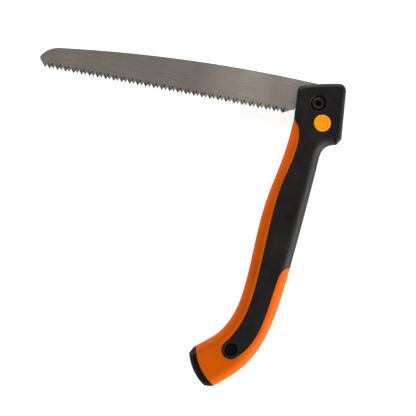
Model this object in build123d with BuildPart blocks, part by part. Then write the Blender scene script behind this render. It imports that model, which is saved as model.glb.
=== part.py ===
from build123d import *
from math import cos, radians, sin
import os

# Folding pruning saw with a 250 mm class blade, lying half open on its far cheek.
# Millimetres. The origin is on the pivot axis, on the surface the saw rests on.
# +Z points out of the near cheek, which carries the button. +Y runs up the back edge of the head,
# the way the blade points when it is fully open, and +X points out of that back edge.

# ---- driving dimensions: handle ----
handle_thickness = 25.0
skin = 2.0  # depth of the black grip covers
head_edge = 4.0  # edge radius round the head
grip_edge = 9.5  # edge radius along the grip
clearance = 0.1  # between pieces that have to go together

# ---- driving dimensions: blade ----
blade_thickness = 1.3
washer_thickness = 0.8
blade_rest = 175.0  # direction of the half open blade, in degrees from +X
opening_turn = 85.0  # turn from here to fully open
closing_turn = 79.0  # turn from here to closed
first_tooth = 33.1  # the large tooth next to the heel, along the blade
tooth_pitch = 7.96  # from one large tooth to the next, with a small one between
large_teeth = 30
heel_reach = 15.3  # from the pivot's line to the first tooth's tip, across the blade
end_reach = 14.2  # the same at the last tooth
tooth_land = 0.4  # width of a tooth's tip
small_tooth = 4.3  # from a large tooth to the small one, along the blade
small_drop = 0.4  # how far the small tips stand back
front_gullet = 3.0  # from a large tooth to the gullet before it, along the blade
front_gullet_depth = 3.4
back_gullet = 6.4
back_gullet_depth = 2.85
spine_chamfer = 0.35
tang_radius = 17.5
lug_direction = 248.0  # of the stop lug on the tang, from the blade's direction
lug_reach = 18.2

# ---- driving dimensions: fittings ----
pivot_radius = 4.0
pivot_head_radius = 6.0
pivot_screw_radius = 2.5
nut_head_radius = 7.3
counterbore_radius = 7.5
collar_radius = 8.6  # of the cover's lining round the counterbore
lock_radius = 19.8  # distance of the button and the lock bolt from the pivot
lock_direction = 286.2
button_radius = 8.2
bolt_radius = 5.0
stop_pin_radius = 2.5
stop_pin_reach = 20.6
stop_pin_direction = 330.0

# ---- levels along Z ----
mid = handle_thickness / 2
slot_half = blade_thickness / 2 + washer_thickness
slot_top = mid + slot_half
slot_bottom = mid - slot_half
core_top = handle_thickness - skin
blade_bottom = mid - blade_thickness / 2
counterbore_floor = 20.5
far_floor = handle_thickness - counterbore_floor



def polar(reach, direction):
    """A place at a distance and a direction from the pivot."""
    return (reach * cos(radians(direction)), reach * sin(radians(direction)))


lock_at = polar(lock_radius, lock_direction)
stop_at = polar(stop_pin_reach, stop_pin_direction)

os.makedirs("parts", exist_ok=True)


def save(piece, label):
    """Names a finished piece and writes it."""
    piece.part.label = label
    export_step(piece.part, f"parts/{label}.step")


# ---- outlines of the handle ----
# The grip runs from inside the head to past the butt, where the cap ends it.
front_edge = [(-22.1, -17.4), (-27.6, -48.8), (-41.0, -97.1), (-49.9, -152.8), (-58.4, -200.6)]
front_edge += [(-70.0, -225.3), (-94.6, -245.3)]
back_edge = [(4.7, -61.4), (-4.1, -117.1), (-12.4, -164.9), (-22.9, -212.9), (-35.9, -245.5)]
back_edge += [(-54.2, -268.1), (-76.2, -284.2)]
saddle = [back_edge[0], (9.2, -44.2), (21.2, -38.9)]
past_butt_front = (-119.5, -262.0)
past_butt_back = (-101.5, -299.5)
heel = saddle[-1]

front_line = Spline(front_edge, tangents=[(-0.15, -1), (-6.4, -4.3)])
back_line = Spline(back_edge, tangents=[(-0.15, -1), (-22, -14.5)])
saddle_line = Spline(saddle, tangents=[(0.15, 1), (1, 0.05)])


def beside(curve, place, left):
    """A point beside a curve, at a distance to its left."""
    return curve @ place + Vector(0, 0, 1).cross(curve % place) * left


def parallel(curve, left, spans=10):
    """A smooth curve beside another one."""
    points = [beside(curve, span / spans, left) for span in range(spans + 1)]
    return Spline(points, tangents=[curve % 0, curve % 1])


def grip_outline(inset):
    """The outline of the grip, drawn in by an inset along its front and its back."""
    with BuildSketch() as outline:
        with BuildLine():
            front = parallel(front_line, inset)
            back = parallel(back_line, -inset)
            seat = parallel(saddle_line, inset)
            Polyline(front @ 1, past_butt_front, past_butt_back, back @ 1)
            Polyline(seat @ 1, Vector(21.2 - inset, -17.4), front @ 0)
        make_face()
    return outline.sketch


with BuildSketch() as head_outline:
    with BuildLine():
        Polyline(
            front_edge[0], (-21.3, 15.0), (0.0, 18.9), (25.8, 21.8), (25.7, -33.2), heel,
            (11.0, -28.5), (-13.0, -28.5), (-17.6, -24.5), front_edge[0],
        )
    make_face()
    fillet(head_outline.vertices().group_by(Axis.Y)[-1], radius=7.0)
    fillet(head_outline.vertices().sort_by_distance((-21.3, 15.0))[0], radius=6.0)

# The black cover takes in the head, the flat of the grip and the upper part of its back.
cover_end = (-62.0, -247.0)
with BuildSketch() as cover_outline:
    with BuildLine():
        Polyline((-40, 40), (-40, -18.4), (-22.3, -18.4))
        Spline(
            (-22.3, -18.4), (-17.6, -24.5), (-16.3, -40.0), (-28.0, -82.1), (-36.9, -130.0),
            (-43.2, -177.6), (-53.6, -217.8), (-69.3, -241.2),
        )
        ThreePointArc((-69.3, -241.2), (-67.2, -254.7), (-54.8, -252.9))
        Spline(
            (-54.8, -252.9), (-43.2, -240.3), (-32.6, -215.8), (-23.1, -175.7), (-19.4, -166.5),
            (-10.0, -162.4),
        )
        Polyline((-10.0, -162.4), (40, -162.4), (40, 40), (-40, 40))
    make_face()

# The cap closes the butt beyond an arc, and its own end is nearly another.
butt_arc_centre = (-45.8, -242.4)
butt_arc_radius = 50.3
with BuildSketch() as butt_outline:
    with Locations((-105.0, -270.0)):
        Rectangle(90.0, 90.0)
    with Locations(butt_arc_centre):
        Circle(butt_arc_radius, mode=Mode.SUBTRACT)

with BuildSketch() as cap_outline:
    with BuildLine():
        Polyline((-88.0, -232.7), (-102.0, -253.9))
        ThreePointArc((-102.0, -253.9), (-96.7, -269.2), (-86.2, -282.7))
        Polyline((-86.2, -282.7), (-84.0, -284.1), (-60.0, -284.8), (-60.0, -262.0), (-88.0, -232.7))
    make_face()


def handle_half(inset, top, edge_head, edge_grip):
    """The near half of the handle's outer body, drawn in by an inset."""
    with BuildPart() as grip:
        with BuildSketch(Plane.XY.offset(mid)):
            add(grip_outline(inset))
        extrude(amount=top - mid)
        rims = grip.edges().filter_by(lambda e: abs(e.center().Z - top) < 0.01)
        below_head = rims.filter_by(lambda e: e.center().Y < heel[1])
        fillet(below_head.sort_by(Axis.X)[1:], radius=edge_grip)
    with BuildPart() as head:
        with BuildSketch(Plane.XY.offset(mid)):
            add(head_outline.sketch)
            if inset:
                offset(amount=-inset, kind=Kind.INTERSECTION)
        extrude(amount=top - mid)
        fillet(head.faces().sort_by(Axis.Z)[-1].edges(), radius=edge_head)
    with BuildPart() as whole:
        add(grip.part)
        add(head.part)
    return whole.part


def on_blade(along, across, turn):
    """The place of a point of the blade, given along it and towards its teeth, at a turn from rest."""
    angle = radians(blade_rest + turn)
    return (along * cos(angle) - across * sin(angle), along * sin(angle) + across * cos(angle))


outer = handle_half(0, handle_thickness, head_edge, grip_edge)
core = handle_half(skin, core_top, head_edge - skin, grip_edge - skin)

# ---- the room for the blade ----
# One wall runs down the back of the head and along the teeth of the closed blade.
with BuildSketch() as slot_outline:
    with BuildLine():
        Polyline(
            (22.0, 40.0), (22.0, -12.0),
            on_blade(24.0, 11.9, closing_turn), on_blade(30.0, 15.0, closing_turn),
            on_blade(32.0, 17.0, closing_turn), on_blade(268.0, 17.0, closing_turn),
            on_blade(280.0, 10.0, closing_turn), on_blade(277.0, -3.0, closing_turn),
            on_blade(262.0, -13.0, closing_turn), on_blade(236.0, -60.0, closing_turn),
            (-140.0, -140.0), (-140.0, 40.0), (22.0, 40.0),
        )
    make_face()

# ---- fittings that pass through the halves ----
shell_screw_spots = [(17.0, -31.0), (-20.0, -149.0), (-31.5, -187.0), (-81.5, -267.5)]
tongue_spot = shell_screw_spots[-1]
shell_screw_radius = 1.6
shell_screw_head = 3.5
shell_screw_bottom = 1.3
shell_screw_seat = 3.4
shell_screw_top = 19.0
end_screw_radius = 1.9
end_screw_head = 5.3
end_screw_seat = 21.8
end_screw_tip = slot_top + 1.2
end_recess_radius = 6.3
end_boss_radius = 7.4
rim_radius = 0.9  # of the cover's edge round its recesses
plate_radius = 10.5
plate_thickness = 2.0
plate_top = slot_top + plate_thickness
plate_bottom = slot_bottom - plate_thickness
flange_radius = 9.5
lip_bottom = 21.5  # underside of the lip that holds the button's flange
tongue_half = 3.0
tongue_radius = 5.5
tongue_length = 12.0
tongue_turn = 205.0
plug_top = 2.6
plug_radius = 8.0
bolt_flange_radius = 6.5
thread_fit = 0.02  # between a screw's thread and its pilot hole
through_fit = 0.2  # between a moving or loose piece and its hole

with BuildSketch() as tongue_outline:
    with Locations(tongue_spot):
        Circle(tongue_radius)
        with Locations(Rotation(0, 0, tongue_turn)):
            with Locations((tongue_length / 2, 0)):
                Rectangle(tongue_length, 2 * tongue_radius)


def bore(at, radius, low, high):
    """Takes a round hole between two levels out of the piece being made."""
    with BuildSketch(Plane.XY.offset(low)) as hole:
        with Locations(at):
            Circle(radius)
    extrude(hole.sketch, amount=high - low, mode=Mode.SUBTRACT)


def disc(at, radius, low, high):
    """Adds a round disc between two levels to the piece being made."""
    with BuildSketch(Plane.XY.offset(low)) as round_face:
        with Locations(at):
            Circle(radius)
    extrude(round_face.sketch, amount=high - low)


def socket(spots, reach, low, high):
    """Takes a hexagon socket out of the piece being made."""
    with BuildSketch(Plane.XY.offset(low)) as hexagon:
        with Locations(*spots):
            RegularPolygon(reach, 6)
    extrude(hexagon.sketch, amount=high - low, mode=Mode.SUBTRACT)


def clear_slot():
    """Takes the near half of the blade's room out of the piece being made."""
    extrude(slot_outline.sketch.moved(Location((0, 0, mid))), amount=slot_half, mode=Mode.SUBTRACT)


cover_block = extrude(cover_outline.sketch, amount=handle_thickness)
butt_block = extrude(butt_outline.sketch, amount=handle_thickness)
near_cover = (outer & cover_block) - core
near_shell = outer - near_cover - butt_block

with BuildPart() as cover_blank:
    add(near_cover)
    disc(cover_end, end_boss_radius, counterbore_floor, core_top)
    disc((0, 0), collar_radius, counterbore_floor, core_top)
    clear_slot()
    bore(cover_end, end_recess_radius, end_screw_seat, handle_thickness)
    bore(cover_end, end_screw_radius + clearance, counterbore_floor, end_screw_seat)
    bore((0, 0), counterbore_radius, counterbore_floor, handle_thickness)
    rims = cover_blank.faces().sort_by(Axis.Z)[-1].edges().filter_by(GeomType.CIRCLE)
    fillet(rims.filter_by(lambda e: e.radius < collar_radius), radius=rim_radius)

with BuildPart() as shell_blank:
    add(near_shell)
    clear_slot()
    bore(cover_end, end_boss_radius + clearance, counterbore_floor, handle_thickness)
    bore(cover_end, end_screw_radius + thread_fit, end_screw_tip, counterbore_floor)
    bore((0, 0), collar_radius + clearance, counterbore_floor, handle_thickness)
    bore((0, 0), pivot_radius + clearance, mid, counterbore_floor)
    bore(stop_at, stop_pin_radius + clearance / 2, mid, shell_screw_top)
    extrude(
        offset(tongue_outline.sketch, amount=clearance).moved(Location((0, 0, mid))),
        amount=tongue_half + clearance, mode=Mode.SUBTRACT,
    )

# ---- near half: orange shell and black cover ----
with BuildPart() as handle_shell_near:
    add(shell_blank.part)
    bore(lock_at, plate_radius + clearance, mid, plate_top)
    bore(lock_at, flange_radius + through_fit, plate_top, lip_bottom)
    bore(lock_at, button_radius + through_fit, lip_bottom, handle_thickness)
    for spot in shell_screw_spots:
        bore(spot, shell_screw_radius + thread_fit, mid, shell_screw_top + through_fit)
save(handle_shell_near, "handle_shell_near")

with BuildPart() as softgrip_near:
    add(cover_blank.part)
    bore(lock_at, button_radius + through_fit, lip_bottom, handle_thickness)
save(softgrip_near, "softgrip_near")

# ---- far half, the mirror image with the lock bolt's bore and the shell screws' heads ----
with BuildPart() as handle_shell_far:
    add(mirror(shell_blank.part, about=Plane.XY.offset(mid), mode=Mode.PRIVATE))
    bore(lock_at, plate_radius + clearance, plate_bottom, mid)
    bore(lock_at, bolt_flange_radius + through_fit, skin, plate_bottom)
    for spot in shell_screw_spots:
        bore(spot, shell_screw_head + through_fit, 0.0, shell_screw_seat)
        bore(spot, shell_screw_radius + through_fit, shell_screw_seat, mid)
save(handle_shell_far, "handle_shell_far")

with BuildPart() as softgrip_far:
    add(mirror(cover_blank.part, about=Plane.XY.offset(mid), mode=Mode.PRIVATE))
    bore(lock_at, plug_radius + through_fit, 0.0, skin)
    for spot in shell_screw_spots:
        bore(spot, shell_screw_head + through_fit, 0.0, shell_screw_seat)
save(softgrip_far, "softgrip_far")

# ---- butt cap, over the ends of both halves, with a tongue between them ----
cap_bevel = 3.0
with BuildPart() as butt_cap:
    add(outer & butt_block)
    with BuildSketch(Plane.XY.offset(mid)):
        add(cap_outline.sketch)
    extrude(amount=handle_thickness, mode=Mode.INTERSECT)
    cap_rim = butt_cap.faces().sort_by(Axis.Z)[-1].edges().filter_by(GeomType.CIRCLE)
    chamfer(cap_rim.sort_by(Axis.X)[0], length=cap_bevel)
    mirror(about=Plane.XY.offset(mid))
    extrude(tongue_outline.sketch.moved(Location((0, 0, mid - tongue_half))), amount=2 * tongue_half)
    bore(tongue_spot, shell_screw_radius + through_fit, 0.0, handle_thickness)
save(butt_cap, "butt_cap")

# ---- blade: spring steel, with a large and a small tooth in turn ----
reach_loss = (heel_reach - end_reach) / (large_teeth - 1)
tooth_line = [(first_tooth - 2.4, heel_reach - 0.9)]
for number in range(large_teeth):
    along = first_tooth + number * tooth_pitch
    across = heel_reach - reach_loss * number
    small = along + small_tooth
    tooth_line += [(along - tooth_land / 2, across), (along + tooth_land / 2, across)]
    tooth_line += [(along + front_gullet, across - front_gullet_depth)]
    tooth_line += [(small - tooth_land / 2, across - small_drop)]
    tooth_line += [(small + tooth_land / 2, across - small_drop)]
    tooth_line += [(along + back_gullet, across - back_gullet_depth)]
tooth_line.pop()

nose = (275.6, 5.0)
nose_top = (256.9, -7.4)
spine_start = (5.0, -18.6)
blade_face = Plane(origin=(0, 0, blade_bottom), x_dir=(*polar(1.0, blade_rest), 0.0), z_dir=(0, 0, 1))
closed_notch = lock_direction - closing_turn - blade_rest
open_notch = lock_direction + opening_turn - blade_rest
with BuildPart() as blade:
    with BuildSketch(blade_face) as blade_outline:
        with BuildLine():
            Polyline(*tooth_line, nose)
            ThreePointArc(nose, (269.2, -2.6), nose_top)
            ThreePointArc(nose_top, (140.0, -18.0), spine_start)
            Polyline(spine_start, (0.0, -17.2), (0.0, 0.0), (14.0, 10.0), (24.5, 10.9), tooth_line[0])
        make_face()
        fillet(blade_outline.vertices().sort_by(Axis.X)[-1], radius=3.0)
        Circle(tang_radius)
        with Locations(Rotation(0, 0, lug_direction)):
            with Locations((lug_reach, 2.2)):
                Rectangle(3.6, 4.4)
        for notch in (closed_notch, open_notch):
            with PolarLocations(lock_radius, 1, start_angle=notch):
                Circle(bolt_radius + clearance, mode=Mode.SUBTRACT)
        Circle(pivot_radius + clearance / 2, mode=Mode.SUBTRACT)
    extrude(amount=blade_thickness)
    arcs = blade.edges().filter_by(GeomType.CIRCLE)
    chamfer(arcs.filter_by(lambda e: e.radius > 10 * tang_radius), length=spine_chamfer)
save(blade, "blade")

# ---- pivot: a sleeve nut flush with the far cheek, a socket screw from the near side ----
washer_top = counterbore_floor + 0.6
barrel_end = counterbore_floor - 0.3
thread_end = 6.5
socket_depth = 2.3
with BuildPart() as pivot_sleeve_nut:
    disc((0, 0), nut_head_radius, 0.0, far_floor)
    chamfer(pivot_sleeve_nut.faces().sort_by(Axis.Z)[0].edges(), length=0.4)
    disc((0, 0), pivot_radius, far_floor, barrel_end)
    bore((0, 0), pivot_screw_radius + thread_fit, thread_end - 1.0, barrel_end)
    for side in (-1, 1):
        bore((side * 4.6, 0), 1.0, 0.0, 2.0)
save(pivot_sleeve_nut, "pivot_sleeve_nut")

with BuildPart() as pivot_screw:
    disc((0, 0), pivot_head_radius, washer_top, washer_top + 2.9)
    fillet(pivot_screw.faces().sort_by(Axis.Z)[-1].edges(), radius=0.8)
    disc((0, 0), pivot_screw_radius, thread_end, washer_top)
    socket([(0, 0)], 3.1, washer_top + 2.9 - socket_depth, handle_thickness)
save(pivot_screw, "pivot_screw")


def ring(outer_radius, inner_radius, low, high):
    """A flat ring on the pivot axis."""
    with BuildPart() as made:
        disc((0, 0), outer_radius, low, high)
        bore((0, 0), inner_radius, low, high)
    return made


washer_radius = 12.0
spring_ring = ring(counterbore_radius - through_fit, pivot_radius + through_fit, counterbore_floor, washer_top)
save(spring_ring, "spring_washer")
for side, low in (("far", slot_bottom), ("near", slot_top - washer_thickness)):
    friction_ring = ring(washer_radius, pivot_radius + clearance, low, low + washer_thickness)
    save(friction_ring, f"friction_washer_{side}")

# ---- lock: button, its pin and spring in the near half, bolt and spring in the far half ----
for side, low in (("near", slot_top), ("far", plate_bottom)):
    with BuildPart() as lock_plate:
        disc(lock_at, plate_radius, low, low + plate_thickness)
        bore(lock_at, bolt_radius + clearance, low, low + plate_thickness)
    save(lock_plate, f"lock_plate_{side}")

button_top = handle_thickness + 0.3
button_bottom = lip_bottom - 1.25
cap_ceiling = 23.6
button_pin_radius = 2.0
boss_radius = 3.4
dish_depth = 0.35
with BuildPart() as release_button:
    disc(lock_at, flange_radius, button_bottom, lip_bottom - 0.05)
    disc(lock_at, button_radius, lip_bottom - 0.05, button_top)
    fillet(release_button.faces().sort_by(Axis.Z)[-1].edges(), radius=0.7)
    bore(lock_at, button_radius - 2.0, button_top - dish_depth, button_top)
    bore(lock_at, 7.3, button_bottom, cap_ceiling)
    disc(lock_at, boss_radius, button_bottom, cap_ceiling)
    bore(lock_at, button_pin_radius, button_bottom, cap_ceiling)
save(release_button, "release_button")

pin_end = plate_top - 0.15
with BuildPart() as button_pin:
    disc(lock_at, button_pin_radius, pin_end, cap_ceiling)
    chamfer(button_pin.faces().sort_by(Axis.Z)[0].edges(), length=0.3)
save(button_pin, "button_pin")


def coil(radius, wire, turns, low, high):
    """A compression spring between two levels, on the lock's axis."""
    height = high - low - 2 * wire
    path = Helix(pitch=height / turns, height=height, radius=radius)
    path = path.moved(Location((*lock_at, low + wire)))
    with BuildPart() as made:
        with BuildSketch(Plane(origin=path @ 0, z_dir=path % 0)):
            Circle(wire)
        sweep(path=path)
    return made


save(coil(6.4, 0.35, 3.5, plate_top, cap_ceiling), "button_spring")

bolt_top = blade_bottom - 0.1
bolt_foot = 3.8
bolt_hollow = 9.0
with BuildPart() as lock_bolt:
    disc(lock_at, bolt_radius, bolt_foot, bolt_top)
    chamfer(lock_bolt.faces().sort_by(Axis.Z)[-1].edges(), length=0.5)
    disc(lock_at, bolt_flange_radius, bolt_foot, plate_bottom - 4.1)
    bore(lock_at, boss_radius, bolt_foot, bolt_hollow)
save(lock_bolt, "lock_bolt")
save(coil(2.6, 0.3, 4.5, plug_top, bolt_hollow), "bolt_spring")

cap_bottom = 0.4
with BuildPart() as lock_cap:
    disc(lock_at, plug_radius, cap_bottom, skin)
    chamfer(lock_cap.faces().sort_by(Axis.Z)[0].edges(), length=0.4)
    disc(lock_at, bolt_flange_radius, skin, plug_top)
save(lock_cap, "lock_cap")

with BuildPart() as stop_pin:
    pin_bottom = handle_thickness - shell_screw_top + through_fit
    disc(stop_at, stop_pin_radius, pin_bottom, handle_thickness - pin_bottom)
    chamfer(stop_pin.edges().filter_by(GeomType.CIRCLE), length=0.4)
save(stop_pin, "stop_pin")

# ---- screws that join the halves, and those at the ends of the covers ----
with BuildPart() as shell_screws:
    for spot in shell_screw_spots:
        disc(spot, shell_screw_head, shell_screw_bottom, shell_screw_seat)
        disc(spot, shell_screw_radius, shell_screw_seat, shell_screw_top)
    socket(shell_screw_spots, 1.7, shell_screw_bottom, shell_screw_bottom + 1.3)
save(shell_screws, "shell_screws")

end_screw_top = end_screw_seat + 1.8
with BuildPart() as end_screws:
    disc(cover_end, end_screw_head, end_screw_seat, end_screw_top)
    fillet(end_screws.faces().sort_by(Axis.Z)[-1].edges(), radius=0.6)
    disc(cover_end, end_screw_radius, end_screw_tip, end_screw_seat)
    socket([cover_end], 2.3, end_screw_seat + 0.5, end_screw_top)
    mirror(about=Plane.XY.offset(mid))
save(end_screws, "end_screws")
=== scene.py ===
import math

import bpy
from mathutils import Matrix, Vector


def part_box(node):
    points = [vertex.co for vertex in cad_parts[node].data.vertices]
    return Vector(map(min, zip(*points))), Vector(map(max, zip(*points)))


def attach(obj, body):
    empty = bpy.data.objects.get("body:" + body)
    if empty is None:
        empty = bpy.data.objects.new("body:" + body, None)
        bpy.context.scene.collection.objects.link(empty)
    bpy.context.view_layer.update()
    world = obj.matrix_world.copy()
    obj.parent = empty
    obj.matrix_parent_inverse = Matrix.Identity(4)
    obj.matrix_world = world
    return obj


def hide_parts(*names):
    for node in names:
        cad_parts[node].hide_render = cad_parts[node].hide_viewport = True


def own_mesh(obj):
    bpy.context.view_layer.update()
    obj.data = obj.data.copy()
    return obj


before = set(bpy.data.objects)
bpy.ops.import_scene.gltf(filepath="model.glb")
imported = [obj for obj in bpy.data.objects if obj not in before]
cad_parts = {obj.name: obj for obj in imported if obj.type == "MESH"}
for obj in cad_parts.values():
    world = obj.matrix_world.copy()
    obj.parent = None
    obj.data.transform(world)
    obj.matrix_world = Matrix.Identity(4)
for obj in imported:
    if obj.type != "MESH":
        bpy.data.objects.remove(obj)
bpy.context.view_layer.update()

# ---- orange shells ----
# The two halves of the handle, moulded from glass filled nylon and screwed together. Their
# surface is satin, with a faint mottle from the filler and a softer gloss where the hand rubs.


class Value:
    """A shader socket that takes part in sums: each operation adds a Math node."""

    def __init__(self, look, socket):
        self.look = look
        self.socket = socket

    def maths(self, operation, *inputs):
        return self.look.add("ShaderNodeMath", {"operation": operation}, dict(enumerate(inputs)))

    def __add__(self, other):
        return self.maths("ADD", self, other)

    def __mul__(self, other):
        return self.maths("MULTIPLY", self, other)

    __radd__ = __add__
    __rmul__ = __mul__


class Look:
    """A material in the making, with one method that adds any node."""

    def __init__(self, name, **constants):
        """The constants are what is the same all over the surface, by the shader's socket names."""
        self.material = bpy.data.materials.new(name)
        self.material.use_nodes = True
        self.tree = self.material.node_tree
        self.shader = self.tree.nodes["Principled BSDF"]
        for socket, value in constants.items():
            self.shader.inputs[socket.replace("_", " ")].default_value = value

    def add(self, kind, settings, inputs, output=0):
        """Any node: its settings first, then the values or links of its sockets."""
        node = self.tree.nodes.new(kind)
        for name, setting in settings.items():
            setattr(node, name, setting)
        for name, value in inputs.items():
            if isinstance(value, Value):
                self.tree.links.new(value.socket, node.inputs[name])
            else:
                node.inputs[name].default_value = value
        return Value(self, node.outputs[output])

    def place(self, turn=0.0, stretch=(1.0, 1.0, 1.0)):
        """Object coordinates, turned about Z and stretched."""
        spot = self.add("ShaderNodeTexCoord", {}, {}, "Object")
        return self.add(
            "ShaderNodeMapping", {"vector_type": "TEXTURE"},
            {"Vector": spot, "Rotation": (0.0, 0.0, turn), "Scale": stretch},
        )

    def noise(self, where, scale, detail=3.0, roughness=0.5):
        """Soft random blotches, scale of them to a metre."""
        return self.add(
            "ShaderNodeTexNoise", {},
            {"Vector": where, "Scale": scale, "Detail": detail, "Roughness": roughness},
        )

    def spread(self, value, low, high, start=0.0, end=1.0):
        """Maps a value from low and high to start and end, and holds it there beyond them."""
        return self.add(
            "ShaderNodeMapRange", {},
            {"Value": value, "From Min": low, "From Max": high, "To Min": start, "To Max": end},
        )

    def mix(self, factor, first, second):
        """A colour between two. The node's colours are its sockets 6 and 7, and its output 2."""
        return self.add("ShaderNodeMix", {"data_type": "RGBA"}, {0: factor, 6: first, 7: second}, 2)

    def bump(self, height, strength, depth):
        return self.add(
            "ShaderNodeBump", {}, {"Height": height, "Strength": strength, "Distance": depth},
        )

    def feed(self, **sockets):
        """Links the shader's sockets and hands over the finished material."""
        for socket, value in sockets.items():
            self.tree.links.new(value.socket, self.shader.inputs[socket.replace("_", " ")])
        return self.material


def moulded(name, dark, light, roughness, grain, gleam=0.3):
    """A moulded plastic: a faint mottle in colour and gloss, and a fine spark eroded grain."""
    look = Look(name, Specular_IOR_Level=gleam)
    where = look.place()
    mottle = look.noise(where, scale=45.0, detail=4.0)
    fine = look.noise(where, scale=2600.0, detail=2.0)
    uneven = mottle + fine * 0.5
    return look.feed(
        Base_Color=look.mix(look.spread(mottle, 0.3, 0.7), dark, light),
        Roughness=look.spread(uneven, 0.5, 1.0, start=roughness - 0.05, end=roughness + 0.06),
        Normal=look.bump(fine, strength=grain, depth=0.0002),
    )


def dress(material, *nodes):
    """Gives CAD nodes their material."""
    for name in nodes:
        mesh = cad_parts[name].data
        mesh.materials.clear()
        mesh.materials.append(material)


orange_nylon = moulded(
    "orange nylon", dark=(0.55, 0.083, 0.0002, 1), light=(0.62, 0.099, 0.0003, 1),
    roughness=0.5, grain=0.15, gleam=0.06,
)
dress(orange_nylon, "handle_shell_near", "handle_shell_far")

# ---- black grip covers ----
# Soft thermoplastic rubber, moulded over the shells on each side. It covers the head, the flat of
# the grip and the upper part of its back, and its mould was etched with a fine leathery grain.

look = Look("black rubber", Specular_IOR_Level=0.22)
where = look.place()
pebbles = look.add(
    "ShaderNodeTexVoronoi", {"feature": "SMOOTH_F1"},
    {"Vector": where, "Scale": 1300.0, "Smoothness": 0.6},
)
cloud = look.noise(where, scale=60.0, detail=4.0)
speck = look.noise(where, scale=900.0)
shade = look.spread(cloud + speck * 0.6, 0.5, 1.1)
black_rubber = look.feed(
    Base_Color=look.mix(shade, (0.0045, 0.0034, 0.0031, 1), (0.0100, 0.0080, 0.0075, 1)),
    Roughness=look.spread(cloud + speck * 0.3, 0.4, 0.9, start=0.40, end=0.55),
    Normal=look.bump(pebbles * 0.6 + speck, strength=0.6, depth=0.0004),
)
dress(black_rubber, "softgrip_near", "softgrip_far")

# ---- butt cap ----
# Hard black nylon, moulded in one piece. It closes the butt and is held by a tongue that the last
# shell screw goes through. The small cap over the lock bolt's bore is the same nylon.

black_nylon = moulded(
    "black nylon", dark=(0.002, 0.0017, 0.0017, 1), light=(0.005, 0.0043, 0.0043, 1),
    roughness=0.40, grain=0.15, gleam=0.15,
)
dress(black_nylon, "butt_cap", "lock_cap")

# ---- blade ----
# Spring steel, ground and brushed lengthwise, with a large and a small tooth in turn. Each flank of
# a tooth is ground from both faces, and the wheel runs on past the gullet. The large teeth are
# hardened dark, and the heel is painted lighter, a painted light for the head's shadow on it.

blade_turn = math.radians(175.0)
blade_half = 0.00065
blade_low, blade_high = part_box("blade")
blade_level = (blade_low.z + blade_high.z) / 2
large_teeth = 30
first_tooth = 0.0331
tooth_pitch = 0.00796
small_tooth_offset = 0.0043
small_tooth_drop = 0.0004
heel_reach = 0.0153
reach_loss = 0.0011 / (large_teeth - 1)
inner_slope = 0.6
outer_slope = 0.9
end_slope = 0.7
wheel_height = 0.0008
spare = 0.003
face_flatness = 0.97
brushed = 0
hardened = 1


def deselect():
    """Leaves edit mode, with nothing selected."""
    if bpy.context.object and bpy.context.object.mode == "EDIT":
        bpy.ops.object.mode_set(mode="OBJECT")
    bpy.ops.object.select_all(action="DESELECT")


def merged_copy(node, name):
    """A copy of a CAD node's mesh with its loose triangles joined, selected on its own."""
    deselect()
    piece = bpy.data.objects.new(name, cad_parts[node].data.copy())
    bpy.context.scene.collection.objects.link(piece)
    piece.select_set(True)
    bpy.context.view_layer.objects.active = piece
    bpy.ops.object.mode_set(mode="EDIT")
    bpy.ops.mesh.select_all(action="SELECT")
    bpy.ops.mesh.remove_doubles(threshold=0.000002)
    bpy.ops.object.mode_set(mode="OBJECT")
    return piece


def grinding(side, lean, reach, breadth, finish):
    """The wheel's path along one flank, from a tooth's tip at the origin.

    It is a block trimmed by three planes: two make a groove, and the third lets it run out.
    """
    deselect()
    middle = (side * (lean + breadth) / 2, -reach / 2, blade_half * 0.7)
    bpy.ops.mesh.primitive_cube_add(size=1.0, location=middle)
    block = bpy.context.object
    block.dimensions = (lean + breadth + 0.002, reach + spare, wheel_height)
    bpy.ops.object.transform_apply(location=True, rotation=True, scale=True)
    bpy.ops.object.mode_set(mode="EDIT")
    inner = Vector((-breadth / 2 * side, 0.0, blade_half))
    run = Vector((side * lean, -reach, 0.0)).normalized()
    across = Vector((-run.y, run.x, 0.0)) * side
    up = Vector((0.0, 0.0, 1.0))
    planes = (
        (inner, up + across * inner_slope),
        (inner + across * breadth, up - across * outer_slope),
        (Vector((0.0, -reach, blade_half)), up + Vector((0.0, end_slope, 0.0))),
    )
    for spot, normal in planes:
        bpy.ops.mesh.select_all(action="SELECT")
        bpy.ops.mesh.bisect(
            plane_co=spot, plane_no=normal.normalized(), use_fill=True, clear_inner=True,
        )
    bpy.ops.object.mode_set(mode="OBJECT")
    finishes(block, lambda face: finish)
    return block


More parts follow.
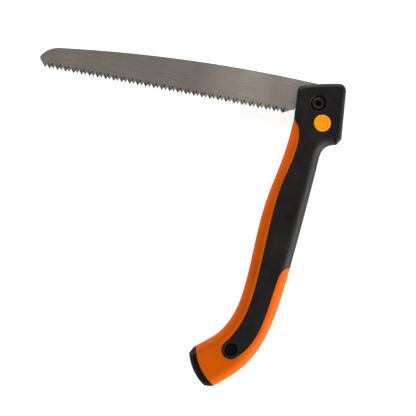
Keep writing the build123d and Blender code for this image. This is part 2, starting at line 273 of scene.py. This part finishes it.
def grind(piece, large, small):
    """Cuts one flank of every large and small tooth, from both faces."""
    cuts = []
    on_blade = Matrix.Translation((0, 0, blade_level)) @ Matrix.Rotation(blade_turn, 4, "Z")
    kinds = ((large, 0.0, 0.0), (small, small_tooth_offset, small_tooth_drop))
    for number in range(large_teeth):
        for pattern, offset, drop in kinds:
            x = first_tooth + number * tooth_pitch + offset
            y = heel_reach - reach_loss * number - drop
            for face in (1, -1):
                cut = pattern.copy()
                cut.data = pattern.data.copy()
                bpy.context.scene.collection.objects.link(cut)
                spot = Matrix.Translation((x, y, 0)) @ Matrix.Diagonal((1, 1, face, 1))
                cut.data.transform(on_blade @ spot)
                cuts.append(cut)
    deselect()
    for cut in cuts:
        cut.select_set(True)
    bpy.context.view_layer.objects.active = cuts[0]
    bpy.ops.object.join()
    tool = bpy.context.object
    bpy.ops.object.mode_set(mode="EDIT")
    bpy.ops.mesh.select_all(action="SELECT")
    bpy.ops.mesh.normals_make_consistent(inside=False)
    deselect()
    piece.select_set(True)
    bpy.context.view_layer.objects.active = piece
    wheel = piece.modifiers.new("grinding", "BOOLEAN")
    wheel.object = tool
    wheel.solver = "MANIFOLD"
    bpy.ops.object.modifier_apply(modifier=wheel.name)
    for used in (tool, large, small):
        bpy.data.objects.remove(used)


look = Look("brushed blade steel", Metallic=0.3)
fine_strokes = look.place(blade_turn, stretch=(60.0, 1.0, 1.0))
broad_strokes = look.place(blade_turn, stretch=(25.0, 1.0, 1.0))
grain = look.noise(fine_strokes, scale=9000.0, roughness=0.6)
streaks = look.noise(broad_strokes, scale=1200.0, roughness=0.6)
cloud = look.noise(look.place(), scale=25.0, detail=2.0)
lengthwise = look.add("ShaderNodeSeparateXYZ", {}, {"Vector": look.place()})
# Painted light: the steel's colour rises toward the heel to make up for the shadow the head casts
# there.
heel_painted_light_mask = look.spread(lengthwise, -0.12, -0.03)
tone = look.spread(grain * 0.5 + streaks * 0.5 + cloud * 0.4, 0.5, 0.9)
steel_colour = look.mix(tone, (0.132, 0.113, 0.097, 1), (0.216, 0.187, 0.162, 1))
heel_painted_light = look.mix(tone, (0.28, 0.240, 0.206, 1), (0.45, 0.392, 0.342, 1))
blade_steel = look.feed(
    Base_Color=look.mix(heel_painted_light_mask, steel_colour, heel_painted_light),
    Roughness=look.spread(grain + streaks, 0.6, 1.4, start=0.36, end=0.50),
    Normal=look.bump(grain, strength=0.15, depth=0.0001),
)
look = Look("ground and hardened steel", Metallic=0.3, Specular_IOR_Level=0.2)
wheel_strokes = look.place(blade_turn, stretch=(1.0, 30.0, 1.0))
scratch = look.noise(wheel_strokes, scale=9000.0, detail=2.0)
tint = look.spread(look.noise(look.place(), scale=700.0), 0.35, 0.65)
hard_steel = look.feed(
    Base_Color=look.mix(tint, (0.010, 0.008, 0.0065, 1), (0.035, 0.029, 0.024, 1)),
    Roughness=look.spread(scratch, 0.3, 0.7, start=0.5, end=0.68),
    Normal=look.bump(scratch, strength=0.15, depth=0.0001),
)


def finishes(piece, choose):
    """Gives each face the finish that choose names, brushed or hardened."""
    piece.data.materials.clear()
    piece.data.materials.append(blade_steel)
    piece.data.materials.append(hard_steel)
    for face in piece.data.polygons:
        face.material_index = choose(face)


blade = merged_copy("blade", "saw_blade")
finishes(blade, lambda face: brushed if abs(face.normal.z) > face_flatness else hardened)
grind(
    blade,
    large=grinding(-1, lean=0.0022, reach=0.0056, breadth=0.00125, finish=hardened),
    small=grinding(-1, lean=0.0009, reach=0.0026, breadth=0.0005, finish=brushed),
)
grind(
    blade,
    large=grinding(1, lean=0.0016, reach=0.0054, breadth=0.0008, finish=hardened),
    small=grinding(1, lean=0.0009, reach=0.0026, breadth=0.0005, finish=brushed),
)
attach(blade, "blade")
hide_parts("blade")

# ---- screws ----
# The pivot screw, its washer and sleeve nut and the smaller screws are steel, blackened in a hot
# oxide bath. The pivot screw clamps the two cheeks on the blade, and the rest hold the halves.


def metal(name, dark, light, roughness, painted_shade_below=-1.0):
    """A plain metal, patchy in tone, and painted dark below a height, a painted shade for a deep
    recess.
    """
    look = Look(name, Metallic=0.85)
    where = look.place()
    height = look.add("ShaderNodeSeparateXYZ", {}, {"Vector": where}, 2)
    unshaded = look.spread(height, painted_shade_below - 0.0004, painted_shade_below)
    patches = look.noise(where, scale=400.0, detail=4.0)
    turned = look.noise(where, scale=3000.0, detail=2.0)
    uneven = patches + turned * 0.4
    return look.feed(
        Base_Color=look.mix(unshaded * look.spread(patches, 0.3, 0.7, start=0.5), dark, light),
        Roughness=look.spread(uneven, 0.4, 1.0, start=roughness - 0.07, end=roughness + 0.1),
        Normal=look.bump(turned, strength=0.1, depth=0.0001),
    )


oxide_brown = (0.070, 0.056, 0.044, 1)
black_oxide = metal(
    "black oxide", dark=(0.010, 0.008, 0.006, 1), light=oxide_brown, roughness=0.34,
)
dress(black_oxide, "pivot_sleeve_nut", "shell_screws")
# Painted shade: the pivot screw's hex socket is painted dark below a millimetre under the head's top.
painted_shade_depth = 0.001
oxide_with_painted_socket_shade = metal(
    "black oxide with painted socket shade", dark=(0.0015, 0.001, 0.001, 1), light=oxide_brown, roughness=0.34,
    painted_shade_below=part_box("pivot_screw")[1].z - painted_shade_depth,
)
dress(oxide_with_painted_socket_shade, "pivot_screw")
dull_black = metal(
    "dull black oxide", dark=(0.006, 0.0055, 0.005, 1), light=(0.012, 0.011, 0.010, 1), roughness=0.42,
)
dress(dull_black, "end_screws", "spring_washer")

# ---- button ----
# Bright orange acetal, semi gloss, with a shallow dish in its top for the thumb. It slides in a
# bore through the near cheek, and the pin pressed into it reaches down to the lock bolt.

bright_orange = moulded(
    "bright orange acetal", dark=(0.93, 0.28, 0.001, 1), light=(1.0, 0.33, 0.002, 1),
    roughness=0.33, grain=0.05,
)
dress(bright_orange, "release_button")

# ---- fittings inside the head ----
# Zinc plated bolt, plates and pins, and pale acetal washers. The springs are bright wire with
# ground ends, and they are fixed to the handle, so they do not squeeze as the button or bolt goes
# down.

zinc = metal(
    "zinc plated steel", dark=(0.30, 0.31, 0.33, 1), light=(0.58, 0.59, 0.62, 1), roughness=0.3,
)
dress(zinc, "lock_bolt", "lock_plate_near", "lock_plate_far", "stop_pin", "button_pin")
spring_wire = metal(
    "spring wire", dark=(0.22, 0.22, 0.23, 1), light=(0.45, 0.45, 0.46, 1), roughness=0.28,
)
dress(spring_wire, "button_spring", "bolt_spring")
button_travel = 0.004
bolt_travel = 0.001
springs = (
    ("button_spring", "button_press", button_travel),
    ("bolt_spring", "bolt_retract", bolt_travel),
)
for node, joint, travel in springs:
    coil = merged_copy(node, node + "_wire")
    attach(coil, "handle")
    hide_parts(node)
    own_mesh(coil)
acetal = moulded(
    "natural acetal", dark=(0.66, 0.65, 0.60, 1), light=(0.74, 0.73, 0.69, 1),
    roughness=0.35, grain=0.05,
)
dress(acetal, "friction_washer_near", "friction_washer_far")

# ---- studio ----
# A white table, a long soft light low on the right, a weaker one behind on the left, and a low one
# behind that picks out the bevels.

deselect()
bpy.ops.mesh.primitive_plane_add(size=6.0, location=(0.0, 0.0, -0.0005))
floor = bpy.context.object
floor.name = "floor"
table = Look(
    "white table", Base_Color=(0.5, 0.5, 0.5, 1), Roughness=0.9,
    Emission_Color=(1, 1, 1, 1), Emission_Strength=0.8,
)
floor.data.materials.append(table.material)


def softbox(name, place, aim, size, power):
    """A rectangular light at a place, turned to face its aim."""
    lamp = bpy.data.lights.new(name, "AREA")
    lamp.shape = "RECTANGLE"
    lamp.size = size[0]
    lamp.size_y = size[1]
    lamp.energy = power
    box = bpy.data.objects.new(name, lamp)
    bpy.context.scene.collection.objects.link(box)
    box.location = place
    box.rotation_euler = (Vector(aim) - Vector(place)).to_track_quat("-Z", "Y").to_euler()


softbox("key", place=(1.08, -0.7, 0.38), aim=(-0.03, -0.13, 0.01), size=(0.9, 0.3), power=30.0)
softbox("side", place=(-0.42, 0.72, 0.55), aim=(-0.01, 0.0, 0.01), size=(0.8, 0.3), power=8.0)
softbox("rim", place=(0.05, 1.2, 0.32), aim=(0.0, 0.0, 0.02), size=(0.6, 0.15), power=7.0)
world = bpy.data.worlds.new("studio")
world.use_nodes = True
backdrop = world.node_tree.nodes["Background"]
backdrop.inputs["Color"].default_value = (1, 1, 1, 1)
backdrop.inputs["Strength"].default_value = 0.25
bpy.context.scene.world = world
bpy.context.scene.view_settings.view_transform = "Standard"

camera_height = 5.0
view_width = 0.4056
lens = bpy.data.cameras.new("camera")
lens.sensor_width = 36.0
lens.lens = lens.sensor_width * (camera_height - blade_level) / view_width
camera = bpy.data.objects.new("camera", lens)
bpy.context.scene.collection.objects.link(camera)
camera.location = (-0.0972, -0.1118, camera_height)
camera.rotation_euler = (0.0, 0.0, math.radians(5.5))
bpy.context.scene.camera = camera
